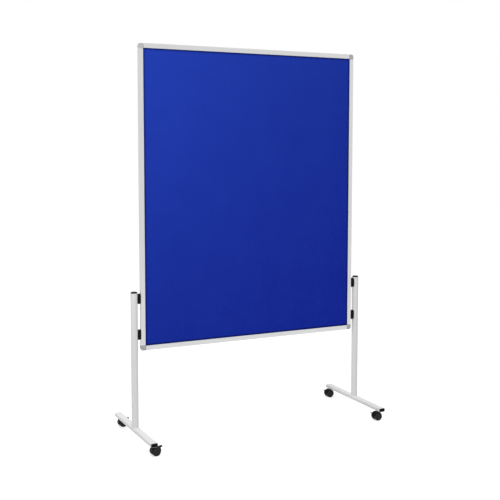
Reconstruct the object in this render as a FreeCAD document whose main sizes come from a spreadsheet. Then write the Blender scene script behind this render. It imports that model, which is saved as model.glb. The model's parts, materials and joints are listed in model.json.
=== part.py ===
# Mobile pinboard: a felt covered board in a metal frame, held between two posts on castors.
# Lengths are in millimetres and angles in degrees. X runs along the board, Y from its front to
# its back, and Z up. The origin is on the floor, under the middle of the board.
import FreeCAD, Part
import math
import os
import Sketcher

# The driving sizes. Each one is a row of the sheet, and every piece takes its sizes from there.
sizes = {
    # Board
    "board_width": 1210,
    "board_height": 1500,
    "board_bottom": 448,
    "core_thickness": 9,
    "felt_thickness": 3.5,
    "felt_squeeze": 0.6,
    "felt_edge_gap": 0.4,
    "lip_gap": 0.1,
    "panel_gap": 0.5,
    # Frame rails and corner pieces
    "frame_face": 24,
    "frame_wall": 1.5,
    "lip_wall": 2,
    "lip_edge_radius": 1.2,
    "frame_edge_radius": 3.5,
    "chamber_depth": 6.5,
    "corner_leg": 27,
    "corner_radius": 12,
    "tongue_length": 24,
    "tongue_fit": 0.2,
    # Posts and what closes them
    "side_gap": 13,
    "post_diameter": 35,
    "post_wall": 1.5,
    "post_top": 736,
    "cope_gap": 0.1,
    "post_cap_thickness": 6.5,
    "post_cap_rounding": 2.5,
    "post_cap_sleeve": 18,
    "post_plug_length": 30,
    "plug_fit": 0.15,
    "plug_wall": 2,
    # Saddle blocks between board and posts, with their screws and nuts
    "saddle_height": 51,
    "saddle_depth": 26,
    "saddle_wrap": 3.3,
    "saddle_corner_radius": 11,
    "saddle_fit": 0.1,
    "saddle_drop": 29,
    "saddle_spacing": 178.5,
    "screw_diameter": 6,
    "screw_hole_gap": 0.25,
    "screw_head_diameter": 11,
    "screw_head_height": 3,
    "screw_head_rounding": 1,
    "screw_socket": 4,
    "screw_socket_depth": 1.8,
    "screw_access_gap": 0.75,
    "screw_tip": 3,
    "nut_height": 18,
    "nut_fit": 0.05,
    "thread_gap": 0.05,
    # Feet
    "bar_width": 35,
    "bar_height": 20,
    "bar_corner_radius": 5,
    "bar_least_radius": 0.5,
    "bar_wall": 2,
    "bar_length": 562,
    "end_cap_thickness": 2.5,
    "end_cap_rounding": 1.8,
    "end_cap_inset": 1.2,
    "end_cap_plug": 12,
    "bolt_diameter": 8,
    "bolt_head_diameter": 13,
    "bolt_head_height": 8,
    "bolt_socket": 6,
    "bolt_socket_depth": 4,
    "bolt_grip": 22,
    "bolt_access_gap": 1,
    "castor_inset": 29,
    "bush_diameter": 14,
    "bush_gap": 0.2,
    # Castors
    "wheel_diameter": 42,
    "wheel_width": 14,
    "wheel_rim": 3,
    "wheel_plate": 3,
    "wheel_recess": 3,
    "wheel_hub_diameter": 12,
    "wheel_cap_diameter": 14,
    "wheel_cap_drop": 0.8,
    "wheel_edge_radius": 2.5,
    "wheel_side_gap": 0.5,
    "axle_diameter": 5,
    "axle_seat_gap": 0.02,
    "axle_depth": 9.5,
    "axle_end_gap": 0.5,
    "running_gap": 0.05,
    "castor_trail": 15,
    "web_width": 11,
    "web_hub_radius": 8,
    "hood_gap": 1.2,
    "hood_wall": 2,
    "hood_width": 34,
    "hood_edge_radius": 1.5,
    "hood_front_angle": 205,
    "hood_rear_angle": 2,
    "notch_top_angle": 62,
    "notch_side_gap": 0.8,
    "boss_diameter": 15,
    "boss_rise": 0.5,
    "stem_gap": 0.3,
    "collar_thickness": 2,
    "collar_across": 17,
    "stem_thread_diameter": 10,
    "stem_thread_length": 15,
    "stem_pin_diameter": 7,
    "stem_pin_length": 23,
    "stem_groove": 0.6,
    "stem_groove_width": 1.2,
    "stem_groove_place": 3,
    # Brake levers of the castors
    "pivot_radius": 24,
    "pivot_angle": 45,
    "pivot_pin_diameter": 3,
    "ear_radius": 4,
    "ear_slot_gap": 0.6,
    "lever_hub_radius": 3.2,
    "lever_hub_width": 5,
    "lever_side_gap": 0.3,
    "lever_width": 14,
    "lever_thickness": 2.8,
    "lever_ear_gap": 1,
    "lever_neck_radius": 2.4,
    "lever_neck_angle": -12.5,
    "lever_bend_sweep": 85,
    "tread_width": 18,
    "tread_thickness": 4,
    "lever_reach": 15,
    "lever_rise_angle": 14,
    "shoe_gap": 3,
    "shoe_low_angle": 14,
    "shoe_high_angle": 31,
}

doc = FreeCAD.newDocument("mobile_pinboard")
sheet = doc.addObject("Spreadsheet::Sheet", "dims")
for row, (name, size) in enumerate(sizes.items(), start=1):
    sheet.set(f"A{row}", name)
    sheet.set(f"B{row}", str(size))
    sheet.setAlias(f"B{row}", name)
doc.recompute()

# Places and sizes that follow from the sheet, as expressions.
half_board = "(dims.board_width / 2)"
board_middle = "(dims.board_bottom + dims.board_height / 2)"
board_top = "(dims.board_bottom + dims.board_height)"
felt_rim = "(dims.felt_thickness - dims.felt_squeeze)"
slot_half = f"(dims.core_thickness / 2 + {felt_rim} + dims.lip_gap)"
frame_half = f"({slot_half} + dims.lip_wall)"
chamber_floor = "(dims.frame_wall + dims.chamber_depth)"
slot_floor = f"({chamber_floor} + dims.frame_wall)"
panel_edge = f"({slot_floor} + dims.panel_gap)"

post_radius = "(dims.post_diameter / 2)"
post_bore = f"({post_radius} - dims.post_wall)"
post_reach = f"(dims.side_gap + {post_radius})"
post_place = f"({half_board} + {post_reach})"
saddle_upper = "(dims.post_top - dims.saddle_drop)"
saddle_lower = f"({saddle_upper} - dims.saddle_spacing)"
screw_hole = "(dims.screw_diameter / 2 + dims.screw_hole_gap)"

wheel_radius = "(dims.wheel_diameter / 2)"
wheel_inner = "(dims.web_width / 2 + dims.wheel_side_gap)"
wheel_outer = f"({wheel_inner} + dims.wheel_width)"
hood_inner = f"({wheel_radius} + dims.hood_gap)"
hood_outer = f"({hood_inner} + dims.hood_wall)"
boss_top = f"({wheel_radius} + {hood_outer} + dims.boss_rise)"
collar_bottom = f"({boss_top} + dims.stem_gap)"
bar_bottom = f"({collar_bottom} + dims.collar_thickness)"
bar_middle = f"({bar_bottom} + dims.bar_height / 2)"
bar_top = f"({bar_bottom} + dims.bar_height)"
castor_place = "(dims.bar_length / 2 - dims.castor_inset)"

pivot_x = "(dims.castor_trail + dims.pivot_radius * cos(dims.pivot_angle))"
pivot_z = f"({wheel_radius} + dims.pivot_radius * sin(dims.pivot_angle))"
bend_inner = "(dims.ear_radius + dims.lever_ear_gap)"
bend_outer = f"({bend_inner} + dims.lever_thickness)"
bend_middle = f"({bend_inner} + dims.lever_thickness / 2)"
shoe_inner = f"({wheel_radius} + dims.shoe_gap)"

# Point numbers in a sketch, turns, and directions.
start_point, end_point, centre_point = range(1, 4)
quarter_turn = 90
half_turn = 180
full_turn = "360"
along_y = FreeCAD.Vector(0, 1, 0)
against_y = FreeCAD.Vector(0, -1, 0)
along_z = FreeCAD.Vector(0, 0, 1)
between_x_and_z = FreeCAD.Vector(1, 0, 1)
closeness = 0.001


def value_of(text):
    return float(sheet.evalExpression(text))


def near(number, text):
    return abs(number - value_of(text)) < closeness


def new_body(label, x="0", y="0", z="0", axis=along_z, turn=0):
    body = doc.addObject("PartDesign::Body", label)
    body.Label = label
    body.Placement = FreeCAD.Placement(FreeCAD.Vector(), FreeCAD.Rotation(axis, turn))
    for direction, text in zip("xyz", (x, y, z)):
        body.setExpression(f".Placement.Base.{direction}", text)
    return body


def new_sketch(body, plane, lift="0"):
    sketch = body.newObject("Sketcher::SketchObject", "Sketch")
    support = next(item for item in body.Origin.OriginFeatures if item.Role == plane)
    sketch.AttachmentSupport = [(support, "")]
    sketch.MapMode = "FlatFace"
    sketch.setExpression(".AttachmentOffset.Base.z", lift)
    return sketch


# A sketch through a cross axle at (x, z): its first axis points away from the axle at an angle
# above X, and its second axis runs along the axle.
def new_radial_sketch(body, x, z, angle):
    sketch = new_sketch(body, "XY_Plane", z)
    sketch.AttachmentOffset = FreeCAD.Placement(FreeCAD.Vector(), FreeCAD.Rotation(against_y, quarter_turn))
    sketch.setExpression(".AttachmentOffset.Rotation.Angle", angle)
    sketch.setExpression(".AttachmentOffset.Base.x", x)
    return sketch


def bind(sketch, kind, text, *where):
    number = sketch.addConstraint(Sketcher.Constraint(kind, *where, value_of(text)))
    sketch.setExpression(f"Constraints[{number}]", text)


def bind_place(sketch, element, point, place):
    bind(sketch, "DistanceX", place[0], element, point)
    bind(sketch, "DistanceY", place[1], element, point)


def draw_outline(sketch, corners):
    places = [FreeCAD.Vector(value_of(x), value_of(y), 0) for x, y in corners]
    lines = []
    for place, following in zip(places, places[1:] + places[:1]):
        lines.append(sketch.addGeometry(Part.LineSegment(place, following)))
    for line, following, corner in zip(lines, lines[1:] + lines[:1], corners):
        sketch.addConstraint(Sketcher.Constraint("Coincident", line, end_point, following, start_point))
        bind_place(sketch, line, start_point, corner)


def draw_rectangle(sketch, low_x, high_x, low_y, high_y):
    draw_outline(sketch, [(low_x, low_y), (high_x, low_y), (high_x, high_y), (low_x, high_y)])


def draw_circle(sketch, place, radius):
    centre = FreeCAD.Vector(value_of(place[0]), value_of(place[1]), 0)
    circle = sketch.addGeometry(Part.Circle(centre, along_z, value_of(radius)))
    bind_place(sketch, circle, centre_point, place)
    bind(sketch, "Radius", radius, circle)


# Two round ends of one radius, joined by straight sides.
def draw_link(sketch, first, second, radius):
    size = value_of(radius)
    first_centre = FreeCAD.Vector(value_of(first[0]), value_of(first[1]), 0)
    second_centre = FreeCAD.Vector(value_of(second[0]), value_of(second[1]), 0)
    run = second_centre - first_centre
    angle = math.atan2(run.y, run.x)
    left = FreeCAD.Vector(-math.sin(angle), math.cos(angle), 0) * size
    right_angle = math.pi / 2
    first_circle = Part.Circle(first_centre, along_z, size)
    second_circle = Part.Circle(second_centre, along_z, size)
    first_arc = sketch.addGeometry(
        Part.ArcOfCircle(first_circle, angle + right_angle, angle + right_angle + math.pi))
    second_arc = sketch.addGeometry(
        Part.ArcOfCircle(second_circle, angle - right_angle, angle + right_angle))
    left_line = sketch.addGeometry(Part.LineSegment(first_centre + left, second_centre + left))
    right_line = sketch.addGeometry(Part.LineSegment(first_centre - left, second_centre - left))
    meetings = [
        (left_line, end_point, second_arc, end_point),
        (right_line, end_point, second_arc, start_point),
        (left_line, start_point, first_arc, start_point),
        (right_line, start_point, first_arc, end_point),
    ]
    for meeting in meetings:
        sketch.addConstraint(Sketcher.Constraint("Tangent", *meeting))
    sketch.addConstraint(Sketcher.Constraint("Equal", first_arc, second_arc))
    bind_place(sketch, first_arc, centre_point, first)
    bind_place(sketch, second_arc, centre_point, second)
    bind(sketch, "Radius", radius, second_arc)


def draw_hexagon(sketch, across):
    half_across = f"({across} / 2)"
    corner_reach = f"({half_across} / cos(30))"
    draw_outline(sketch, [
        (corner_reach, "0"),
        (f"{corner_reach} / 2", half_across),
        (f"-{corner_reach} / 2", half_across),
        (f"-{corner_reach}", "0"),
        (f"-{corner_reach} / 2", f"-{half_across}"),
        (f"{corner_reach} / 2", f"-{half_across}"),
    ])


# The foot bars' rectangle with rounded corners, drawn in or out by an offset.
def draw_bar_outline(sketch, offset="0", middle="0"):
    radius = f"max(dims.bar_corner_radius + {offset}; dims.bar_least_radius)"
    centre_x = f"(dims.bar_width / 2 + {offset} - {radius})"
    centre_y = f"(dims.bar_height / 2 + {offset} - {radius})"
    right_angle = math.pi / 2
    arcs = []
    for number, (across, upright) in enumerate([(1, 1), (-1, 1), (-1, -1), (1, -1)]):
        place = (f"{across} * {centre_x}", f"{middle} + {upright} * {centre_y}")
        centre = FreeCAD.Vector(value_of(place[0]), value_of(place[1]), 0)
        circle = Part.Circle(centre, along_z, value_of(radius))
        start_angle = number * right_angle
        arc = sketch.addGeometry(Part.ArcOfCircle(circle, start_angle, start_angle + right_angle))
        bind_place(sketch, arc, centre_point, place)
        bind(sketch, "Radius", radius, arc)
        arcs.append(arc)
    for arc, following in zip(arcs, arcs[1:] + arcs[:1]):
        side = Part.LineSegment(sketch.getPoint(arc, end_point), sketch.getPoint(following, start_point))
        line = sketch.addGeometry(side)
        sketch.addConstraint(Sketcher.Constraint("Tangent", line, start_point, arc, end_point))
        sketch.addConstraint(Sketcher.Constraint("Tangent", line, end_point, following, start_point))


def pad(body, sketch, length, symmetric=False, reverse=False):
    feature = body.newObject("PartDesign::Pad", "Pad")
    feature.Profile = sketch
    feature.SideType = "Symmetric" if symmetric else "One side"
    feature.Reversed = reverse
    feature.setExpression("Length", length)


def pocket(body, sketch, length=None, symmetric=False, reverse=False):
    feature = body.newObject("PartDesign::Pocket", "Pocket")
    feature.Profile = sketch
    feature.SideType = "Symmetric" if symmetric else "One side"
    feature.Reversed = reverse
    if length is None:
        feature.Type = "ThroughAll"
    else:
        feature.setExpression("Length", length)


def revolve(body, sketch, axis, angle=full_turn, cut=False):
    kind = "Groove" if cut else "Revolution"
    feature = body.newObject(f"PartDesign::{kind}", kind)
    feature.Profile = sketch
    feature.ReferenceAxis = (sketch, [axis])
    feature.Midplane = True
    feature.setExpression("Angle", angle)


def round_edges(body, radius, chosen):
    doc.recompute()
    carrier = body.Tip
    names = [f"Edge{number}" for number, edge in enumerate(carrier.Shape.Edges, start=1) if chosen(edge)]
    feature = body.newObject("PartDesign::Fillet", "Fillet")
    feature.Base = (carrier, names)
    feature.setExpression("Radius", radius)


def is_circle(edge, radius):
    return isinstance(edge.Curve, Part.Circle) and near(edge.Curve.Radius, radius)


# Copies of one small piece, kept as separate solids in one sub-part.
def new_group(label, bodies):
    group = doc.addObject("Part::Compound", label)
    group.Label = label
    group.Links = bodies
    return group


# A rail of the frame lies along its own X with its outer face down: two lips hold the panel's
# edge above a hollow chamber.
def make_rail(label, length, x, z, axis, turn, screw_places=()):
    rail = new_body(label, x=x, z=z, axis=axis, turn=turn)
    profile = new_sketch(rail, "YZ_Plane")
    draw_outline(profile, [
        (f"-{frame_half}", "0"),
        (frame_half, "0"),
        (frame_half, "dims.frame_face"),
        (slot_half, "dims.frame_face"),
        (slot_half, slot_floor),
        (f"-{slot_half}", slot_floor),
        (f"-{slot_half}", "dims.frame_face"),
        (f"-{frame_half}", "dims.frame_face"),
    ])
    draw_rectangle(profile, f"-{slot_half}", slot_half, "dims.frame_wall", chamber_floor)
    pad(rail, profile, length, symmetric=True)
    round_edges(rail, "dims.frame_edge_radius", lambda edge: near(edge.BoundBox.ZMax, "0")
                and near(edge.BoundBox.YLength, "0"))
    round_edges(rail, "dims.lip_edge_radius", lambda edge: near(edge.BoundBox.ZMin, "dims.frame_face")
                and near(abs(edge.BoundBox.Center.y), frame_half))
    if screw_places:
        cut_depth = "dims.frame_wall + dims.chamber_depth / 2"
        holes = new_sketch(rail, "XY_Plane")
        access = new_sketch(rail, "XY_Plane", slot_floor)
        for place in screw_places:
            centre = (f"({place} - {board_middle})", "0")
            draw_circle(holes, centre, screw_hole)
            draw_circle(access, centre, "dims.screw_head_diameter / 2 + dims.screw_access_gap")
        pocket(rail, holes, cut_depth, reverse=True)
        pocket(rail, access, cut_depth)
    return rail


def make_rails():
    across = "dims.board_width - 2 * dims.corner_leg"
    upright = "dims.board_height - 2 * dims.corner_leg"
    screw_places = [saddle_upper, saddle_lower]
    return [
        make_rail("frame_bottom_rail", across, "0", "dims.board_bottom", along_y, 0),
        make_rail("frame_top_rail", across, "0", board_top, along_y, half_turn),
        make_rail("frame_left_rail", upright, f"-{half_board}", board_middle, between_x_and_z,
                  half_turn, screw_places),
        make_rail("frame_right_rail", upright, half_board, board_middle, along_y, -quarter_turn,
                  screw_places),
    ]


# A corner piece carries the rails' section round the corner, with a tongue into each rail.
def make_corner(label, x, z, turn):
    corner = new_body(label, x=x, z=z, axis=along_y, turn=turn)
    outline = new_sketch(corner, "XZ_Plane")
    draw_outline(outline, [
        ("0", "0"),
        ("dims.corner_leg", "0"),
        ("dims.corner_leg", "dims.frame_face"),
        ("dims.frame_face", "dims.frame_face"),
        ("dims.frame_face", "dims.corner_leg"),
        ("0", "dims.corner_leg"),
    ])
    pad(corner, outline, f"2 * {frame_half}", symmetric=True)
    round_edges(corner, "dims.corner_radius", lambda edge: near(edge.BoundBox.XMax, "0")
                and near(edge.BoundBox.ZMax, "0"))
    round_edges(corner, "dims.frame_edge_radius", lambda edge: near(edge.BoundBox.YLength, "0")
                and (near(edge.BoundBox.XMax, "0") or near(edge.BoundBox.ZMax, "0")
                     or is_circle(edge, "dims.corner_radius")))
    panel_room = new_sketch(corner, "XZ_Plane")
    draw_rectangle(panel_room, slot_floor, "2 * dims.corner_leg", slot_floor, "2 * dims.corner_leg")
    pocket(corner, panel_room, f"2 * {slot_half}", symmetric=True)
    round_edges(corner, "dims.lip_edge_radius", lambda edge: near(abs(edge.BoundBox.Center.y), frame_half)
                and near(edge.BoundBox.YLength, "0")
                and (near(edge.BoundBox.XMin, "dims.frame_face")
                     or near(edge.BoundBox.ZMin, "dims.frame_face")))
    tongues = new_sketch(corner, "XZ_Plane")
    low_side = "dims.frame_wall + dims.tongue_fit"
    high_side = f"{chamber_floor} - dims.tongue_fit"
    tongue_end = "dims.corner_leg + dims.tongue_length"
    draw_rectangle(tongues, "dims.frame_face", tongue_end, low_side, high_side)
    draw_rectangle(tongues, low_side, high_side, "dims.frame_face", tongue_end)
    pad(corner, tongues, f"2 * ({slot_half} - dims.tongue_fit)", symmetric=True)
    return corner


def make_corners():
    return [
        make_corner("corner_bottom_left", f"-{half_board}", "dims.board_bottom", 0),
        make_corner("corner_bottom_right", half_board, "dims.board_bottom", -quarter_turn),
        make_corner("corner_top_left", f"-{half_board}", board_top, quarter_turn),
        make_corner("corner_top_right", half_board, board_top, half_turn),
    ]


def draw_panel(sketch, margin):
    across = f"({half_board} - {margin})"
    upright = f"(dims.board_height / 2 - {margin})"
    draw_rectangle(sketch, f"-{across}", across, f"-{upright}", upright)


# The core board reaches into the rails' slots on all four sides.
def make_core():
    core = new_body("panel_core", z=board_middle)
    outline = new_sketch(core, "XZ_Plane")
    draw_panel(outline, panel_edge)
    pad(core, outline, "dims.core_thickness", symmetric=True)
    return core


# Each felt is squeezed thinner under the lips and stands fuller between them.
def make_felt(label, turn):
    felt = new_body(label, z=board_middle, turn=turn)
    rim = new_sketch(felt, "XZ_Plane", "dims.core_thickness / 2")
    draw_panel(rim, panel_edge)
    pad(felt, rim, felt_rim)
    field = new_sketch(felt, "XZ_Plane", f"dims.core_thickness / 2 + {felt_rim}")
    draw_panel(field, "(dims.frame_face + dims.felt_edge_gap)")
    pad(felt, field, "dims.felt_squeeze")
    return felt


# A saddle block starts at the board's side and wraps a little way round the post.
def make_saddle(label, side, height):
    saddle = new_body(label, x=side["board"], z=height, turn=side["turn"])
    outline = new_sketch(saddle, "YZ_Plane")
    draw_rectangle(outline, "-dims.saddle_depth / 2", "dims.saddle_depth / 2",
                   "-dims.saddle_height / 2", "dims.saddle_height / 2")
    pad(saddle, outline, "dims.side_gap + dims.saddle_wrap")
    round_edges(saddle, "dims.saddle_corner_radius", lambda edge: near(edge.BoundBox.YLength, "0")
                and near(edge.BoundBox.ZLength, "0"))
    seat = new_sketch(saddle, "XY_Plane")
    draw_circle(seat, (post_reach, "0"), f"{post_radius} + dims.saddle_fit")
    pocket(saddle, seat, symmetric=True)
    hole = new_sketch(saddle, "YZ_Plane")
    draw_circle(hole, ("0", "0"), screw_hole)
    pocket(saddle, hole, symmetric=True)
    return saddle


# A screw goes from the frame's chamber through the saddle and the post's wall into its nut.
def make_saddle_screw(label, side, height):
    screw = new_body(label, x=side["board"], z=height, turn=side["turn"])
    profile = new_sketch(screw, "XY_Plane")
    seat = "(-dims.frame_wall)"
    head = f"({seat} - dims.screw_head_height)"
    tip = f"({post_reach} + dims.screw_tip)"
    draw_outline(profile, [
        (head, "0"),
        (tip, "0"),
        (tip, "dims.screw_diameter / 2"),
        (seat, "dims.screw_diameter / 2"),
        (seat, "dims.screw_head_diameter / 2"),
        (head, "dims.screw_head_diameter / 2"),
    ])
    revolve(screw, profile, "H_Axis")
    round_edges(screw, "dims.screw_head_rounding", lambda edge: near(edge.BoundBox.XMax, head)
                and is_circle(edge, "dims.screw_head_diameter / 2"))
    socket = new_sketch(screw, "YZ_Plane", head)
    draw_hexagon(socket, "dims.screw_socket")
    pocket(screw, socket, "dims.screw_socket_depth", reverse=True)
    return screw


# A round nut lies in the post's bore behind each saddle and takes the screw from the side.
def make_post_nut(label, side, height):
    nut = new_body(label, x=side["post"], z=height)
    section = new_sketch(nut, "XY_Plane")
    draw_circle(section, ("0", "0"), f"{post_bore} - dims.nut_fit")
    pad(nut, section, "dims.nut_height", symmetric=True)
    thread = new_sketch(nut, "YZ_Plane")
    draw_circle(thread, ("0", "0"), "dims.screw_diameter / 2 + dims.thread_gap")
    pocket(nut, thread, symmetric=True)
    return nut


# A post is a round tube whose foot is coped to the foot bar's back.
def make_post(label, side):
    post = new_body(label, x=side["post"], turn=side["turn"])
    section = new_sketch(post, "XY_Plane", bar_middle)
    draw_circle(section, ("0", "0"), post_radius)
    draw_circle(section, ("0", "0"), post_bore)
    pad(post, section, f"dims.post_top - {bar_middle}")
    cope = new_sketch(post, "XZ_Plane")
    draw_bar_outline(cope, "dims.cope_gap", bar_middle)
    pocket(post, cope, symmetric=True)
    holes = new_sketch(post, "YZ_Plane")
    for height in (saddle_upper, saddle_lower):
        draw_circle(holes, ("0", height), screw_hole)
    pocket(post, holes)
    return post


# A post cap sits inside the post's end, and its domed head stands out of it.
def make_post_cap(label, side):
    cap = new_body(label, x=side["post"], z="dims.post_top")
    profile = new_sketch(cap, "XZ_Plane")
    sleeve = f"({post_bore} - dims.plug_fit)"
    draw_outline(profile, [
        ("0", "0"),
        (f"{sleeve} - dims.plug_wall", "0"),
        (f"{sleeve} - dims.plug_wall", "-dims.post_cap_sleeve"),
        (sleeve, "-dims.post_cap_sleeve"),
        (sleeve, "dims.post_cap_thickness"),
        ("0", "dims.post_cap_thickness"),
    ])
    revolve(cap, profile, "V_Axis")
    round_edges(cap, "dims.post_cap_rounding", lambda edge: is_circle(edge, sleeve)
                and near(edge.BoundBox.ZMin, "dims.post_cap_thickness"))
    return cap


# The plug in the post's foot takes the bolt that comes up through the foot bar.
def make_post_plug(label, side):
    plug = new_body(label, x=side["post"], z=bar_top)
    section = new_sketch(plug, "XY_Plane")
    draw_circle(section, ("0", "0"), f"{post_bore} - dims.plug_fit")
    draw_circle(section, ("0", "0"), "dims.bolt_diameter / 2 + dims.thread_gap")
    pad(plug, section, "dims.post_plug_length")
    return plug


def make_post_bolt(label, side):
    bolt = new_body(label, x=side["post"], z=f"{bar_top} - dims.bar_wall")
    profile = new_sketch(bolt, "XZ_Plane")
    tip = "(dims.bar_wall + dims.bolt_grip)"
    draw_outline(profile, [
        ("0", "-dims.bolt_head_height"),
        ("dims.bolt_head_diameter / 2", "-dims.bolt_head_height"),
        ("dims.bolt_head_diameter / 2", "0"),
        ("dims.bolt_diameter / 2", "0"),
        ("dims.bolt_diameter / 2", tip),
        ("0", tip),
    ])
    revolve(bolt, profile, "V_Axis")
    socket = new_sketch(bolt, "XY_Plane", "-dims.bolt_head_height")
    draw_hexagon(socket, "dims.bolt_socket")
    pocket(bolt, socket, "dims.bolt_socket_depth", reverse=True)
    return bolt


# A foot bar is a flat tube with rounded corners, drilled below for the castors and the bolt's head.
def make_foot_bar(label, side):
    bar = new_body(label, x=side["post"], z=bar_middle)
    section = new_sketch(bar, "XZ_Plane")
    draw_bar_outline(section)
    draw_bar_outline(section, "-dims.bar_wall")
    pad(bar, section, "dims.bar_length", symmetric=True)
    lower_holes = new_sketch(bar, "XY_Plane")
    for place in (f"-{castor_place}", castor_place):
        draw_circle(lower_holes, ("0", place), "dims.bush_diameter / 2 + dims.thread_gap")
    draw_circle(lower_holes, ("0", "0"), "dims.bolt_head_diameter / 2 + dims.bolt_access_gap")
    pocket(bar, lower_holes)
    upper_hole = new_sketch(bar, "XY_Plane")
    draw_circle(upper_hole, ("0", "0"), "dims.bolt_diameter / 2 + dims.screw_hole_gap")
    pocket(bar, upper_hole, reverse=True)
    return bar


# An end cap covers the foot bar's end with a rounded face and holds by a hollow plug inside it.
def make_end_cap(label, side, end):
    cap = new_body(label, x=side["post"], y=end["bar_end"], z=bar_middle, turn=end["turn"])
    face = new_sketch(cap, "XZ_Plane")
    draw_bar_outline(face, "(-dims.end_cap_inset)")
    pad(cap, face, "dims.end_cap_thickness")
    round_edges(cap, "dims.end_cap_rounding",
                lambda edge: near(edge.BoundBox.YMax, "-dims.end_cap_thickness"))
    plug = new_sketch(cap, "XZ_Plane")
    draw_bar_outline(plug, "(-dims.bar_wall - dims.plug_fit)")
    draw_bar_outline(plug, "(-dims.bar_wall - dims.plug_fit - dims.plug_wall)")
    pad(cap, plug, "dims.end_cap_plug", reverse=True)
    return cap


def castor_body(label, side, end):
    return new_body(label, x=side["post"], y=end["castor"], turn=side["castor_turn"])


# The bush stands in the foot bar and takes the thread of the castor's stem.
def make_bush(label, side, end):
    bush = castor_body(label, side, end)
    section = new_sketch(bush, "XY_Plane", bar_bottom)
    draw_circle(section, ("0", "0"), "dims.bush_diameter / 2")
    draw_circle(section, ("0", "0"), "dims.stem_thread_diameter / 2 + dims.thread_gap")
    pad(bush, section, "dims.bar_height - dims.bar_wall - dims.bush_gap")
    return bush


# Every piece of a castor is drawn in one frame: the swivel axis is Z, the wheels trail along X.
def make_stem(label, side, end):
    stem = castor_body(label, side, end)
    profile = new_sketch(stem, "XZ_Plane")
    pin = "(dims.stem_pin_diameter / 2)"
    neck = f"({pin} - dims.stem_groove)"
    thread = "(dims.stem_thread_diameter / 2)"
    pin_end = f"({collar_bottom} - dims.stem_pin_length)"
    groove_low = f"({pin_end} + dims.stem_groove_place)"
    groove_high = f"({groove_low} + dims.stem_groove_width)"
    thread_end = f"({bar_bottom} + dims.stem_thread_length)"
    draw_outline(profile, [
        ("0", pin_end),
        (neck, pin_end),
        (pin, f"{pin_end} + dims.stem_groove"),
        (pin, groove_low),
        (neck, groove_low),
        (neck, groove_high),
        (pin, groove_high),
        (pin, bar_bottom),
        (thread, bar_bottom),
        (thread, thread_end),
        ("0", thread_end),
    ])
    revolve(stem, profile, "V_Axis")
    collar = new_sketch(stem, "XY_Plane", collar_bottom)
    draw_hexagon(collar, "dims.collar_across")
    pad(stem, collar, "dims.collar_thickness")
    return stem


# The hood arches over both wheels from a web between them, which holds the stem, the axle and
# the two ears of the brake lever. A notch in the hood's rear lets the lever out.
def make_hood(label, side, end):
    hood = castor_body(label, side, end)
    axle_place = ("dims.castor_trail", wheel_radius)
    pivot_place = (pivot_x, pivot_z)
    half_web = "(dims.web_width / 2)"
    half_hood = "(dims.hood_width / 2)"
    middle_angle = "(dims.hood_front_angle + dims.hood_rear_angle) / 2"
    arch = new_radial_sketch(hood, *axle_place, middle_angle)
    draw_rectangle(arch, "0", hood_outer, f"-{half_hood}", half_hood)
    revolve(hood, arch, "V_Axis", "dims.hood_front_angle - dims.hood_rear_angle")
    boss = new_sketch(hood, "XY_Plane", wheel_radius)
    draw_circle(boss, ("0", "0"), "dims.boss_diameter / 2")
    pad(hood, boss, f"{boss_top} - {wheel_radius}")
    wheel_rooms = new_radial_sketch(hood, *axle_place, middle_angle)
    draw_rectangle(wheel_rooms, "0", hood_inner, half_web, "dims.hood_width")
    draw_rectangle(wheel_rooms, "0", hood_inner, "-dims.hood_width", f"-{half_web}")
    revolve(hood, wheel_rooms, "V_Axis", cut=True)
    round_edges(hood, "dims.hood_edge_radius", lambda edge: is_circle(edge, hood_outer)
                and near(abs(edge.Curve.Center.y), half_hood))
    notch = new_radial_sketch(hood, *axle_place, "dims.hood_rear_angle")
    half_notch = "(dims.lever_width / 2 + dims.notch_side_gap)"
    draw_rectangle(notch, "0", f"2 * {hood_outer}", f"-{half_notch}", half_notch)
    revolve(hood, notch, "V_Axis", "2 * (dims.notch_top_angle - dims.hood_rear_angle)", cut=True)
    hub = new_sketch(hood, "XZ_Plane")
    draw_circle(hub, axle_place, "dims.web_hub_radius")
    pad(hood, hub, "dims.web_width", symmetric=True)
    arm = new_sketch(hood, "XZ_Plane")
    draw_link(arm, axle_place, pivot_place, "dims.ear_radius")
    pad(hood, arm, "dims.web_width", symmetric=True)
    ear_slot = new_sketch(hood, "XZ_Plane")
    draw_circle(ear_slot, pivot_place, "dims.ear_radius + dims.ear_slot_gap")
    pocket(hood, ear_slot, "dims.lever_hub_width + 2 * dims.lever_side_gap", symmetric=True)
    bores = new_sketch(hood, "XZ_Plane")
    draw_circle(bores, axle_place, "dims.axle_diameter / 2 + dims.axle_seat_gap")
    draw_circle(bores, pivot_place, "dims.pivot_pin_diameter / 2 + dims.axle_seat_gap")
    pocket(hood, bores, symmetric=True)
    stem_bore = new_sketch(hood, "XY_Plane", boss_top)
    draw_circle(stem_bore, ("0", "0"), "dims.stem_pin_diameter / 2 + dims.running_gap")
    pocket(hood, stem_bore, "dims.stem_pin_length")
    return hood


def make_axle(label, side, end):
    axle = castor_body(label, side, end)
    section = new_sketch(axle, "XZ_Plane")
    draw_circle(section, ("dims.castor_trail", wheel_radius), "dims.axle_diameter / 2")
    pad(axle, section, f"2 * ({wheel_inner} + dims.axle_depth)", symmetric=True)
    return axle


def make_lever_pin(label, side, end):
    pin = castor_body(label, side, end)
    section = new_sketch(pin, "XZ_Plane")
    draw_circle(section, (pivot_x, pivot_z), "dims.pivot_pin_diameter / 2")
    pad(pin, section, "dims.web_width", symmetric=True)
    return pin


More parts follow.
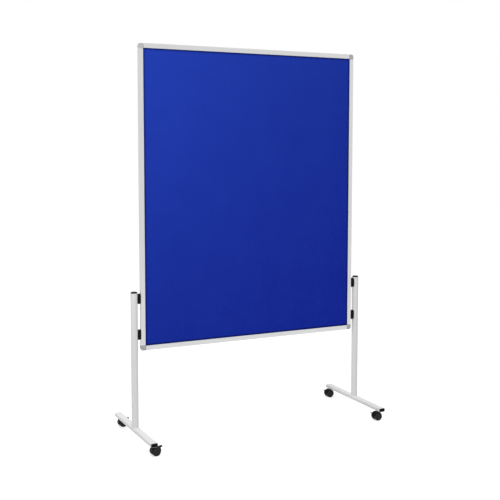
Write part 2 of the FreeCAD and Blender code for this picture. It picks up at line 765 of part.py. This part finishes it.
# The brake lever turns between the hood's ears: its tread plate rises to the rear, and a curved
# shoe hangs round the wheels just clear of their treads.
def make_lever(label, side, end):
    lever = castor_body(label, side, end)
    half_width = "(dims.lever_width / 2)"
    shoe_middle = "(dims.shoe_low_angle + dims.shoe_high_angle) / 2"
    shoe = new_radial_sketch(lever, "dims.castor_trail", wheel_radius, shoe_middle)
    draw_rectangle(shoe, shoe_inner, f"{shoe_inner} + dims.lever_thickness", f"-{half_width}", half_width)
    revolve(lever, shoe, "V_Axis", "dims.shoe_high_angle - dims.shoe_low_angle")
    bend = new_radial_sketch(lever, pivot_x, pivot_z, "dims.lever_neck_angle")
    draw_rectangle(bend, bend_inner, bend_outer, f"-{half_width}", half_width)
    revolve(lever, bend, "V_Axis", "dims.lever_bend_sweep")
    plate_root = (f"{pivot_x} + {bend_middle} * cos(dims.lever_rise_angle)",
                  f"{pivot_z} + {bend_middle} * sin(dims.lever_rise_angle)")
    plate_tip = (f"{pivot_x} + dims.lever_reach * cos(dims.lever_rise_angle)",
                 f"{pivot_z} + dims.lever_reach * sin(dims.lever_rise_angle)")
    plate = new_sketch(lever, "XZ_Plane")
    draw_link(plate, plate_root, plate_tip, "dims.tread_thickness / 2")
    pad(lever, plate, "dims.tread_width", symmetric=True)
    neck_end = (f"{pivot_x} + {bend_middle} * cos(dims.lever_neck_angle)",
                f"{pivot_z} + {bend_middle} * sin(dims.lever_neck_angle)")
    neck = new_sketch(lever, "XZ_Plane")
    draw_link(neck, (pivot_x, pivot_z), neck_end, "dims.lever_neck_radius")
    pad(lever, neck, "dims.lever_hub_width", symmetric=True)
    hub = new_sketch(lever, "XZ_Plane")
    draw_circle(hub, (pivot_x, pivot_z), "dims.lever_hub_radius")
    pad(lever, hub, "dims.lever_hub_width", symmetric=True)
    bore = new_sketch(lever, "XZ_Plane")
    draw_circle(bore, (pivot_x, pivot_z), "dims.pivot_pin_diameter / 2 + dims.running_gap")
    pocket(lever, bore, symmetric=True)
    return lever


# A wheel is a rim and a hub joined by a plate, dished on both faces, with a blind bore.
def make_wheel(label, side, end, facing):
    wheel = castor_body(label, side, end)
    profile = new_radial_sketch(wheel, "dims.castor_trail", wheel_radius, str(quarter_turn))
    bore = "dims.axle_diameter / 2 + dims.running_gap"
    bore_end = f"{wheel_inner} + dims.axle_depth + dims.axle_end_gap"
    rim_inside = f"{wheel_radius} - dims.wheel_rim"
    plate_outside = f"{wheel_outer} - dims.wheel_recess"
    plate_inside = f"{plate_outside} - dims.wheel_plate"
    cap_face = f"{wheel_outer} - dims.wheel_cap_drop"
    corners = [
        ("0", bore_end),
        (bore, bore_end),
        (bore, wheel_inner),
        ("dims.wheel_hub_diameter / 2", wheel_inner),
        ("dims.wheel_hub_diameter / 2", plate_inside),
        (rim_inside, plate_inside),
        (rim_inside, wheel_inner),
        (wheel_radius, wheel_inner),
        (wheel_radius, wheel_outer),
        (rim_inside, wheel_outer),
        (rim_inside, plate_outside),
        ("dims.wheel_cap_diameter / 2", plate_outside),
        ("dims.wheel_cap_diameter / 2", cap_face),
        ("0", cap_face),
    ]
    draw_outline(profile, [(radius, f"{facing} * ({place})") for radius, place in corners])
    revolve(wheel, profile, "V_Axis")
    round_edges(wheel, "dims.wheel_edge_radius", lambda edge: is_circle(edge, wheel_radius))
    return wheel


# The two sides and the two ends of the stand. Seen from its own side, each castor trails inwards.
sides = {
    "left": {"board": f"-{half_board}", "post": f"-{post_place}", "turn": half_turn, "castor_turn": 0},
    "right": {"board": half_board, "post": post_place, "turn": 0, "castor_turn": half_turn},
}
ends = {
    "front": {"bar_end": "-dims.bar_length / 2", "castor": f"-{castor_place}", "turn": 0},
    "rear": {"bar_end": "dims.bar_length / 2", "castor": castor_place, "turn": half_turn},
}
saddle_heights = {"upper": saddle_upper, "lower": saddle_lower}

sub_parts = [
    make_core(),
    make_felt("felt_front", 0),
    make_felt("felt_back", half_turn),
    *make_rails(),
    *make_corners(),
]

screws = []
nuts = []
bolts = []
bushes = []
for side_name, side in sides.items():
    sub_parts.append(make_post(f"post_{side_name}", side))
    sub_parts.append(make_post_cap(f"post_cap_{side_name}", side))
    sub_parts.append(make_post_plug(f"post_plug_{side_name}", side))
    sub_parts.append(make_foot_bar(f"foot_bar_{side_name}", side))
    bolts.append(make_post_bolt(f"post_bolt_{side_name}", side))
    for level, height in saddle_heights.items():
        sub_parts.append(make_saddle(f"saddle_{side_name}_{level}", side, height))
        screws.append(make_saddle_screw(f"saddle_screw_{side_name}_{level}", side, height))
        nuts.append(make_post_nut(f"post_nut_{side_name}_{level}", side, height))
    for end_name, end in ends.items():
        place = f"{end_name}_{side_name}"
        castor = f"castor_{place}"
        facing_front = -1 if side_name == "left" else 1
        sub_parts.append(make_end_cap(f"foot_cap_{place}", side, end))
        bushes.append(make_bush(f"castor_bush_{place}", side, end))
        sub_parts.append(make_stem(f"{castor}_stem", side, end))
        sub_parts.append(make_hood(f"{castor}_hood", side, end))
        sub_parts.append(make_axle(f"{castor}_axle", side, end))
        sub_parts.append(make_lever_pin(f"{castor}_lever_pin", side, end))
        sub_parts.append(make_lever(f"{castor}_brake_lever", side, end))
        sub_parts.append(make_wheel(f"{castor}_front_wheel", side, end, facing_front))
        sub_parts.append(make_wheel(f"{castor}_rear_wheel", side, end, -facing_front))

sub_parts.append(new_group("saddle_screws", screws))
sub_parts.append(new_group("post_nuts", nuts))
sub_parts.append(new_group("post_bolts", bolts))
sub_parts.append(new_group("castor_bushes", bushes))

doc.recompute()
failed = [item.Label for item in doc.Objects if "Invalid" in item.State or "Error" in item.State]
if failed:
    raise RuntimeError(f"failed objects: {failed}")
for sub_part in sub_parts:
    if sub_part.Shape.isNull() or not sub_part.Shape.isValid():
        raise RuntimeError(f"no valid shape: {sub_part.Label}")

os.makedirs("parts", exist_ok=True)
for sub_part in sub_parts:
    sub_part.Shape.exportStep(f"parts/{sub_part.Label}.step")
print(f"{len(sub_parts)} sub-parts written")
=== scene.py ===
import bpy
import json
import math
from mathutils import Matrix, Vector, noise


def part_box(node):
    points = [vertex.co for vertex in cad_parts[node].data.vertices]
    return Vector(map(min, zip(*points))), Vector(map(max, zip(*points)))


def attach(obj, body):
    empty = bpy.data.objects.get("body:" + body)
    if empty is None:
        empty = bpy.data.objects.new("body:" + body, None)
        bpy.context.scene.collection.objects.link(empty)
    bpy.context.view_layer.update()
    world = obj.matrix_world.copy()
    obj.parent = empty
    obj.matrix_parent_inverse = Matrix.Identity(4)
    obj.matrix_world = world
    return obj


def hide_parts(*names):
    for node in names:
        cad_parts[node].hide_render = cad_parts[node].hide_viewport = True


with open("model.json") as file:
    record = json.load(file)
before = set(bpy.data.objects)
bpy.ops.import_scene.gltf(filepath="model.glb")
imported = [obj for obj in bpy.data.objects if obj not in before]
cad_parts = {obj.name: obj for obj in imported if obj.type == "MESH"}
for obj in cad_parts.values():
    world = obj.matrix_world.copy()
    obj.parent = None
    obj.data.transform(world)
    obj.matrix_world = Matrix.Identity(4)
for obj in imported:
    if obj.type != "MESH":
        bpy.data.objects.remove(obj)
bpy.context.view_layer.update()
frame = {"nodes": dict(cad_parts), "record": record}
nodes = frame["nodes"]
print("frame loaded:", len(nodes), "nodes")


def mm(length):
    return length / 1000


def perMm(size):  # texture scale that makes one pattern cell this many millimetres wide
    return 1000 / size


def hexToLinear(code):
    channels = [int(code[i:i + 2], 16) / 255 for i in (1, 3, 5)]
    linear = [c / 12.92 if c <= 0.04045 else ((c + 0.055) / 1.055) ** 2.4 for c in channels]
    return (*linear, 1.0)


def addNode(tree, kind, settings=None, links=None):
    node = tree.nodes.new(kind)
    for key, value in (settings or {}).items():
        if isinstance(key, int) or key in node.inputs:
            node.inputs[key].default_value = value
        else:
            setattr(node, key, value)
    for key, source in (links or {}).items():
        tree.links.new(source, node.inputs[key])
    return node


def newMaterial(name):
    material = bpy.data.materials.new(name)
    material.use_nodes = True
    tree = material.node_tree
    tree.nodes.clear()
    shader = addNode(tree, "ShaderNodeBsdfPrincipled")
    addNode(tree, "ShaderNodeOutputMaterial", links={"Surface": shader.outputs["BSDF"]})
    return material, tree, shader


def dress(names, material):
    for name in names:
        mesh = nodes[name].data
        mesh.materials.clear()
        mesh.materials.append(material)


# Needle-punched polyester felt: matted fibres, no gloss, a soft bloom where light grazes the nap.
feltLook = {
    "deepShade": "#0A1886",
    "paleShade": "#182F9A",
    "paintedLightShade": "#213D9C",  # painted light: the felt paler towards the upper left, as if lit from there
    "paintedLightShare": 0.6,
    "paintedLightReachMm": 1100.0,
    "paintedLightSlope": (-0.6, 0.0, 1.0),
    "paintedLipShadowShade": "#07134C",  # painted shadow: the felt darker beside the frame's lips
    "fibreMm": 1.6,
    "fibreNoise": {"Detail": 3.0, "Roughness": 0.7, "Distortion": 1.5},
    "tuftMm": 6.0,  # the real tufts are about 2 mm, drawn coarser so that they show
    "tuftNoise": {"Detail": 4.0, "Roughness": 0.65},
    "cloudMm": 160.0,
    "cloudNoise": {"Detail": 1.0},
    "cloudWeight": 0.3,
    "napSpan": (0.85, 1.45),  # of the added patterns, from the deep to the pale shade
    "napDepthMm": 0.25,
    "napStrength": 0.5,
    "roughness": 0.95,
    "specular": 0.05,
    "sheen": 0.04,
    "sheenRoughness": 0.45,
    "sheenTint": "#8FA6FF",
}


def makeNeedledFelt():
    look = feltLook
    material, tree, shader = newMaterial("needledPolyesterFelt")
    place = addNode(tree, "ShaderNodeTexCoord").outputs["Object"]
    fibre = addNode(tree, "ShaderNodeTexNoise",
                    {"Scale": perMm(look["fibreMm"]), **look["fibreNoise"]}, {"Vector": place})
    tuft = addNode(tree, "ShaderNodeTexNoise",
                   {"Scale": perMm(look["tuftMm"]), **look["tuftNoise"]}, {"Vector": place})
    cloud = addNode(tree, "ShaderNodeTexNoise",
                    {"Scale": perMm(look["cloudMm"]), **look["cloudNoise"]}, {"Vector": place})
    nap = addNode(tree, "ShaderNodeMath", {"operation": "ADD"},
                  {0: tuft.outputs["Fac"], 1: fibre.outputs["Fac"]})
    blend = addNode(tree, "ShaderNodeMath", {"operation": "MULTIPLY_ADD", 1: look["cloudWeight"]},
                    {0: cloud.outputs["Fac"], 2: nap.outputs[0]})
    napLow, napHigh = look["napSpan"]
    share = addNode(tree, "ShaderNodeMapRange", {"From Min": napLow, "From Max": napHigh},
                    {"Value": blend.outputs[0]})
    colour = addNode(tree, "ShaderNodeMix",
                     {"data_type": "RGBA",
                      6: hexToLinear(look["deepShade"]), 7: hexToLinear(look["paleShade"])},
                     {0: share.outputs[0]})
    # painted light: the felt turns paler towards the upper left, along this slope across the board
    slope = addNode(tree, "ShaderNodeVectorMath", {"operation": "DOT_PRODUCT", 1: look["paintedLightSlope"]},
                    {0: place})
    low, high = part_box("panel_core")
    middle = (low.z + high.z) / 2
    reach = mm(look["paintedLightReachMm"])
    lay = addNode(tree, "ShaderNodeMapRange",
                  {"From Min": middle - reach, "From Max": middle + reach, "To Max": look["paintedLightShare"]},
                  {"Value": slope.outputs["Value"]})
    paintedLitColour = addNode(tree, "ShaderNodeMix", {"data_type": "RGBA", 7: hexToLinear(look["paintedLightShade"])},
                      {0: lay.outputs[0], 6: colour.outputs[2]})
    # painted shadow: the felt darkened beside the frame's lips
    lipShadowShare = addNode(tree, "ShaderNodeAttribute", {"attribute_name": "lipShadowShare"})
    lipShadowedColour = addNode(tree, "ShaderNodeMix", {"data_type": "RGBA", 7: hexToLinear(look["paintedLipShadowShade"])},
                    {0: lipShadowShare.outputs["Fac"], 6: paintedLitColour.outputs[2]})
    bump = addNode(tree, "ShaderNodeBump",
                   {"Strength": look["napStrength"], "Distance": mm(look["napDepthMm"])},
                   {"Height": nap.outputs[0]})
    shader.inputs["Roughness"].default_value = look["roughness"]
    shader.inputs["Specular IOR Level"].default_value = look["specular"]
    shader.inputs["Sheen Weight"].default_value = look["sheen"]
    shader.inputs["Sheen Roughness"].default_value = look["sheenRoughness"]
    shader.inputs["Sheen Tint"].default_value = hexToLinear(look["sheenTint"])
    tree.links.new(lipShadowedColour.outputs[2], shader.inputs["Base Color"])
    tree.links.new(bump.outputs["Normal"], shader.inputs["Normal"])
    return material


# Extruded aluminium, etched and clear anodised: a satin metal with faint drawing lines along its length.
aluminiumLook = {
    "shade": "#E3E3E3",
    "lineShade": "#D6D6D7",
    "lineMm": 0.8,  # die lines are finer than this, drawn wider so that they show
    "lineNoise": {"Detail": 3.0, "Roughness": 0.6},
    "lineStretch": 0.004,
    "shadeSpan": (0.35, 0.65),
    "glossSpan": (0.3, 0.7),
    "smooth": 0.36,
    "dull": 0.46,
    "lineDepthMm": 0.02,
    "lineStrength": 0.25,
}


def makeAnodisedAluminium(name, alongAxis):
    look = aluminiumLook
    material, tree, shader = newMaterial(name)
    place = addNode(tree, "ShaderNodeTexCoord").outputs["Object"]
    stretch = [look["lineStretch"] if axis == alongAxis else 1.0 for axis in "XYZ"]
    lay = addNode(tree, "ShaderNodeMapping", {"Scale": stretch}, {"Vector": place})
    lines = addNode(tree, "ShaderNodeTexNoise", {"Scale": perMm(look["lineMm"]), **look["lineNoise"]},
                    {"Vector": lay.outputs[0]})
    glossLow, glossHigh = look["glossSpan"]
    gloss = addNode(tree, "ShaderNodeMapRange",
                    {"From Min": glossLow, "From Max": glossHigh,
                     "To Min": look["smooth"], "To Max": look["dull"]},
                    {"Value": lines.outputs["Fac"]})
    shadeLow, shadeHigh = look["shadeSpan"]
    drawn = addNode(tree, "ShaderNodeMapRange", {"From Min": shadeLow, "From Max": shadeHigh},
                    {"Value": lines.outputs["Fac"]})
    colour = addNode(tree, "ShaderNodeMix",
                     {"data_type": "RGBA", 6: hexToLinear(look["shade"]), 7: hexToLinear(look["lineShade"])},
                     {0: drawn.outputs[0]})
    bump = addNode(tree, "ShaderNodeBump",
                   {"Strength": look["lineStrength"], "Distance": mm(look["lineDepthMm"])},
                   {"Height": lines.outputs["Fac"]})
    tree.links.new(colour.outputs[2], shader.inputs["Base Color"])
    shader.inputs["Metallic"].default_value = 1.0
    tree.links.new(gloss.outputs[0], shader.inputs["Roughness"])
    tree.links.new(bump.outputs["Normal"], shader.inputs["Normal"])
    return material


# Fine-grained finishes on moulded, coated or plated pieces: a colour, a dulling grain and a shallow relief.
grainPattern = {
    "grainNoise": {"Detail": 2.0, "Roughness": 0.6},
    "patchNoise": {"Detail": 3.0},
    "glossSpan": (0.3, 0.7),
}


def makeGrained(name, look):
    material, tree, shader = newMaterial(name)
    place = addNode(tree, "ShaderNodeTexCoord").outputs["Object"]
    grain = addNode(tree, "ShaderNodeTexNoise",
                    {"Scale": perMm(look["grainMm"]), **grainPattern["grainNoise"]}, {"Vector": place})
    patch = addNode(tree, "ShaderNodeTexNoise",
                    {"Scale": perMm(look["patchMm"]), **grainPattern["patchNoise"]}, {"Vector": place})
    colour = addNode(tree, "ShaderNodeMix",
                     {"data_type": "RGBA", 6: hexToLinear(look["shade"]), 7: hexToLinear(look["patchShade"])},
                     {0: patch.outputs["Fac"]})
    glossLow, glossHigh = grainPattern["glossSpan"]
    gloss = addNode(tree, "ShaderNodeMapRange",
                    {"From Min": glossLow, "From Max": glossHigh,
                     "To Min": look["smooth"], "To Max": look["dull"]},
                    {"Value": grain.outputs["Fac"]})
    bump = addNode(tree, "ShaderNodeBump", {"Strength": look["relief"], "Distance": mm(look["depthMm"])},
                   {"Height": grain.outputs["Fac"]})
    shader.inputs["Metallic"].default_value = look["metallic"]
    shader.inputs["Specular IOR Level"].default_value = look["specular"]
    tree.links.new(colour.outputs[2], shader.inputs["Base Color"])
    tree.links.new(gloss.outputs[0], shader.inputs["Roughness"])
    tree.links.new(bump.outputs["Normal"], shader.inputs["Normal"])
    return material


# Polyester powder coat on steel tube: even light grey with the slight orange peel of melted powder.
powderCoatLook = {"shade": "#D4D4D4", "patchShade": "#D0D1D1", "grainMm": 2.5, "patchMm": 60,
                  "smooth": 0.38, "dull": 0.46, "relief": 0.12, "depthMm": 0.05,
                  "metallic": 0.0, "specular": 0.4}
# Injection moulded grey ABS with a fine spark-eroded skin: silky, a shade darker than the metal beside it.
greyAbsLook = {"shade": "#A2A2A4", "patchShade": "#9D9EA0", "grainMm": 0.9, "patchMm": 25,
               "smooth": 0.42, "dull": 0.55, "relief": 0.2, "depthMm": 0.04,
               "metallic": 0.0, "specular": 0.4}
# Injection moulded black polyamide with a fine eroded grain: soft highlights, slightly uneven black.
blackPolyamideLook = {"shade": "#0A0A0A", "patchShade": "#101011", "grainMm": 1.0, "patchMm": 14,
                      "smooth": 0.42, "dull": 0.56, "relief": 0.25, "depthMm": 0.05,
                      "metallic": 0.0, "specular": 0.09}
# Black polyamide polished in the mould, rubbed by the floor: glossier faces with paler scuffs.
wheelPolyamideLook = {"shade": "#1C1C1D", "patchShade": "#282829", "grainMm": 2.2, "patchMm": 7,
                      "smooth": 0.28, "dull": 0.44, "relief": 0.1, "depthMm": 0.04,
                      "metallic": 0.0, "specular": 0.2}
# Zinc plated steel: a bright bluish metal with soft blotches from the bath.
zincSteelLook = {"shade": "#C3C6CA", "patchShade": "#AEB2B6", "grainMm": 1.2, "patchMm": 4,
                 "smooth": 0.24, "dull": 0.38, "relief": 0.08, "depthMm": 0.02,
                 "metallic": 1.0, "specular": 0.5}
# Raw soft fibre board: dull brown pulp with coarse fibres, seen only on its edges.
fibreBoardLook = {"shade": "#A98B63", "patchShade": "#8F7350", "grainMm": 1.5, "patchMm": 6,
                  "smooth": 0.8, "dull": 0.95, "relief": 0.5, "depthMm": 0.2,
                  "metallic": 0.0, "specular": 0.3}

slotNodes = {}
for part in frame["record"]["subparts"]:
    slotNodes.setdefault(part["material_slot"], []).append(part["node"])
dress(["frame_top_rail", "frame_bottom_rail"], makeAnodisedAluminium("anodisedAluminiumAcross", "X"))
dress(["frame_left_rail", "frame_right_rail"], makeAnodisedAluminium("anodisedAluminiumUpright", "Z"))
dress(slotNodes["stand_tube"], makeGrained("powderCoatedSteel", powderCoatLook))
dress(slotNodes["corner"], makeGrained("mouldedGreyAbs", greyAbsLook))
dress(slotNodes["black_plastic"], makeGrained("mouldedBlackPolyamide", blackPolyamideLook))
dress(slotNodes["wheel"], makeGrained("polishedBlackPolyamide", wheelPolyamideLook))
dress(slotNodes["steel"], makeGrained("zincPlatedSteel", zincSteelLook))
dress(slotNodes["core_board"], makeGrained("rawFibreBoard", fibreBoardLook))
print("materials on", sum(len(names) for names in slotNodes.values()), "nodes")

# Each felt is one stretched sheet: thin where the lips pinch it, then swelling to its full thickness.
feltShape = {
    "flatSize": (mm(1190), mm(1480)),
    "lipReachMm": 14.0,  # hidden under the frame's lips
    "rimThicknessMm": 2.9,
    "swellMm": 13.0,
    "stepMm": 15.0,
    "swellSteps": 9,
    "waveMm": 0.12,
    "waveLengthMm": 90.0,
    "lipShadowFade": 0.6,  # below 1, the painted shadow reaches further out from the lips
}


def feltLines(low, high):
    shape = feltShape
    edge = [0.0, mm(shape["lipReachMm"])]
    for step in range(1, shape["swellSteps"] + 1):
        edge.append(mm(shape["lipReachMm"] + shape["swellMm"] * step / shape["swellSteps"]))
    inside = high - low - 2 * edge[-1]
    count = round(inside / mm(shape["stepMm"]))
    middle = [edge[-1] + inside * i / count for i in range(1, count)]
    return [low + d for d in edge + middle] + [high - d for d in reversed(edge)]


def swellShare(distance):
    shape = feltShape
    t = (distance - mm(shape["lipReachMm"])) / mm(shape["swellMm"])
    t = min(max(t, 0.0), 1.0)
    return math.sin(t * math.pi / 2)


def makeFelt(name, node, outward, material):
    shape = feltShape
    low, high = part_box(node)
    root = high.y if outward < 0 else low.y
    full = high.y - low.y
    rim = mm(shape["rimThicknessMm"])
    across = feltLines(low.x, high.x)
    upright = feltLines(low.z, high.z)
    verts = []
    lipShadowShare = []
    for x in across:
        for z in upright:
            edge = min(x - low.x, high.x - x, z - low.z, high.z - z)
            share = swellShare(edge)
            spot = Vector((x, outward, z)) / mm(shape["waveLengthMm"])
            wave = noise.noise(spot) * 0.5 - 0.5  # from -1 to 0, so it never stands out past the solid
            thickness = rim + (full - rim + wave * mm(shape["waveMm"])) * share
            verts.append((x, root + outward * thickness, z))
            # painted shadow beside the lips, strongest where the felt is pinched thin
            lipShadowShare.append((1 - share) ** shape["lipShadowFade"])
    lipShadowShare += [0.0] * len(verts)
    verts += [(x, root, z) for x in across for z in upright]
    rows, columns = len(across), len(upright)
    back = rows * columns

    def at(i, j):
        return i * columns + j

    faces = []
    for i in range(rows - 1):
        for j in range(columns - 1):
            quad = [at(i, j), at(i + 1, j), at(i + 1, j + 1), at(i, j + 1)]
            faces.append(quad)
            faces.append([back + k for k in reversed(quad)])
    border = [at(i, 0) for i in range(rows)] + [at(rows - 1, j) for j in range(1, columns)]
    border += [at(i, columns - 1) for i in range(rows - 2, -1, -1)]
    border += [at(0, j) for j in range(columns - 2, 0, -1)]
    for a, b in zip(border, border[1:] + border[:1]):
        faces.append([b, a, back + a, back + b])
    if outward > 0:
        faces = [list(reversed(face)) for face in faces]
    mesh = bpy.data.meshes.new(name)
    mesh.from_pydata(verts, [], faces)
    mesh.update()
    mesh.polygons.foreach_set("use_smooth", [True] * len(mesh.polygons))
    mesh.attributes.new("lipShadowShare", "FLOAT", "POINT").data.foreach_set("value", lipShadowShare)
    mesh.materials.append(material)
    felt = bpy.data.objects.new(name, mesh)
    bpy.context.scene.collection.objects.link(felt)
    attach(felt, "stand")
    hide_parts(node)


needledFelt = makeNeedledFelt()
makeFelt("feltSheetFront", "felt_front", -1, needledFelt)
makeFelt("feltSheetBack", "felt_back", 1, needledFelt)
print("felt sheets stretched on both sides")

# Plain studio: a white floor that runs out of sight, broad light from the front and the back, dimmer sides,
# a big soft lamp overhead and two weak ones on the left.
studio = {
    "floorHalf": 60.0,
    "floorShade": "#CACACA",
    "floorLift": 0.57,
    "mirrorLift": 0.36,  # brings the lit floor to plain white in the metal
    "sideLevel": 0.28,
    "frontGain": 1.12,
    "frontFocus": 3.0,
    "topGain": 0.45,
    "lampsInGloss": False,  # the metal shows the white surround, without hot spots
    "lamps": {
        "key": {"place": (-2.0, -1.3, 2.3), "aim": (-0.6, 0.0, 1.6),
                "size": 1.0, "power": 6.0, "spread": 80.0},
        "top": {"place": (-0.7, -0.25, 4.6), "aim": (0.0, 0.0, 0.0),
                "size": 3.5, "power": 120.0, "spread": 180.0},
        "fill": {"place": (-6.0, -1.1, 0.5), "aim": (0.0, 0.0, 0.1),
                 "size": 2.5, "power": 6.0, "spread": 90.0},
    },
}


def addStage(name, mesh):
    piece = bpy.data.objects.new(name, mesh)
    bpy.context.scene.collection.objects.link(piece)


def whoLooks(tree):  # the camera, and what metal or glass shows of the surroundings
    path = addNode(tree, "ShaderNodeLightPath").outputs
    mirrored = addNode(tree, "ShaderNodeMath", {"operation": "MAXIMUM"},
                       {0: path["Is Glossy Ray"], 1: path["Is Transmission Ray"]})
    return path["Is Camera Ray"], mirrored.outputs[0]


def makeFloor():
    half = studio["floorHalf"]
    mesh = bpy.data.meshes.new("studioFloor")
    corners = [(-half, -half, 0), (half, -half, 0), (half, half, 0), (-half, half, 0)]
    mesh.from_pydata(corners, [], [(0, 1, 2, 3)])
    material = bpy.data.materials.new("paleStudioPaper")
    material.use_nodes = True
    tree = material.node_tree
    tree.nodes.clear()
    paper = addNode(tree, "ShaderNodeBsdfDiffuse", {"Color": hexToLinear(studio["floorShade"])})
    seen, mirrored = whoLooks(tree)
    glint = addNode(tree, "ShaderNodeMath", {"operation": "MULTIPLY", 1: studio["mirrorLift"]}, {0: mirrored})
    lift = addNode(tree, "ShaderNodeMath", {"operation": "MULTIPLY_ADD", 1: studio["floorLift"]},
                   {0: seen, 2: glint.outputs[0]})
    glow = addNode(tree, "ShaderNodeEmission", {"Color": hexToLinear("#FFFFFF")},
                   {"Strength": lift.outputs[0]})
    both = addNode(tree, "ShaderNodeAddShader", links={0: paper.outputs[0], 1: glow.outputs[0]})
    addNode(tree, "ShaderNodeOutputMaterial", links={"Surface": both.outputs[0]})
    mesh.materials.append(material)
    addStage("studioFloor", mesh)


def makeSurround():
    world = bpy.data.worlds.new("whiteSurround")
    bpy.context.scene.world = world
    world.use_nodes = True
    tree = world.node_tree
    tree.nodes.clear()
    aim = addNode(tree, "ShaderNodeTexCoord").outputs["Generated"]
    axes = addNode(tree, "ShaderNodeSeparateXYZ", links={0: aim})
    facing = addNode(tree, "ShaderNodeMath", {"operation": "ABSOLUTE"}, {0: axes.outputs["Y"]})
    depth = addNode(tree, "ShaderNodeMath", {"operation": "POWER", 1: studio["frontFocus"]},
                    {0: facing.outputs[0]})
    height = addNode(tree, "ShaderNodeMath", {"operation": "MAXIMUM", 1: 0.0}, {0: axes.outputs["Z"]})
    broad = addNode(tree, "ShaderNodeMath",
                    {"operation": "MULTIPLY_ADD", 1: studio["frontGain"], 2: studio["sideLevel"]},
                    {0: depth.outputs[0]})
    level = addNode(tree, "ShaderNodeMath", {"operation": "MULTIPLY_ADD", 1: studio["topGain"]},
                    {0: height.outputs[0], 2: broad.outputs[0]})
    seen, mirrored = whoLooks(tree)
    white = addNode(tree, "ShaderNodeMath", {"operation": "MAXIMUM"}, {0: seen, 1: mirrored})
    strength = addNode(tree, "ShaderNodeMix", {"data_type": "FLOAT", 3: 1.0},
                       {0: white.outputs[0], 2: level.outputs[0]})
    sky = addNode(tree, "ShaderNodeBackground", {"Color": hexToLinear("#FFFFFF")},
                  {"Strength": strength.outputs[0]})
    addNode(tree, "ShaderNodeOutputWorld", links={"Surface": sky.outputs[0]})


def makeLamp(name, plan):
    light = bpy.data.lights.new(f"{name}Lamp", "AREA")
    light.size = plan["size"]
    light.energy = plan["power"]
    light.spread = math.radians(plan["spread"])
    lamp = bpy.data.objects.new(f"{name}Lamp", light)
    lamp.location = plan["place"]
    lamp.rotation_euler = (Vector(plan["aim"]) - lamp.location).to_track_quat("-Z", "Y").to_euler()
    lamp.visible_glossy = studio["lampsInGloss"]
    bpy.context.scene.collection.objects.link(lamp)


makeFloor()
makeSurround()
for lampName, lampPlan in studio["lamps"].items():
    makeLamp(lampName, lampPlan)
print("studio set")

# The camera was solved from the board's corners and the feet in the photograph.
camera = {
    "place": (-2.04252, -4.27805, 1.46577),
    "yaw": 27.4822,
    "pitch": -4.6951,
    "roll": 0.2096,
    "focalPixels": 918.37,
    "centrePixels": (282.74, 219.42),
    "imagePixels": 500,
    "sensorMm": 36.0,
}


def makeCamera():
    lens = bpy.data.cameras.new("photoCamera")
    lens.sensor_width = camera["sensorMm"]
    lens.lens = camera["focalPixels"] / camera["imagePixels"] * camera["sensorMm"]
    lens.shift_x = 0.5 - camera["centrePixels"][0] / camera["imagePixels"]
    lens.shift_y = camera["centrePixels"][1] / camera["imagePixels"] - 0.5
    yaw, pitch, roll = (math.radians(camera[angle]) for angle in ("yaw", "pitch", "roll"))
    ahead = Vector((math.sin(yaw) * math.cos(pitch), math.cos(yaw) * math.cos(pitch), math.sin(pitch)))
    level = Vector((math.cos(yaw), -math.sin(yaw), 0))
    upward = level.cross(ahead)
    right = level * math.cos(roll) + upward * math.sin(roll)
    up = upward * math.cos(roll) - level * math.sin(roll)
    view = bpy.data.objects.new("photoCamera", lens)
    turn = Matrix((right, up, -ahead)).transposed()
    view.matrix_world = Matrix.Translation(camera["place"]) @ turn.to_4x4()
    bpy.context.scene.collection.objects.link(view)
    bpy.context.scene.camera = view


makeCamera()
bpy.context.scene.view_settings.view_transform = "Standard"
print("camera set")
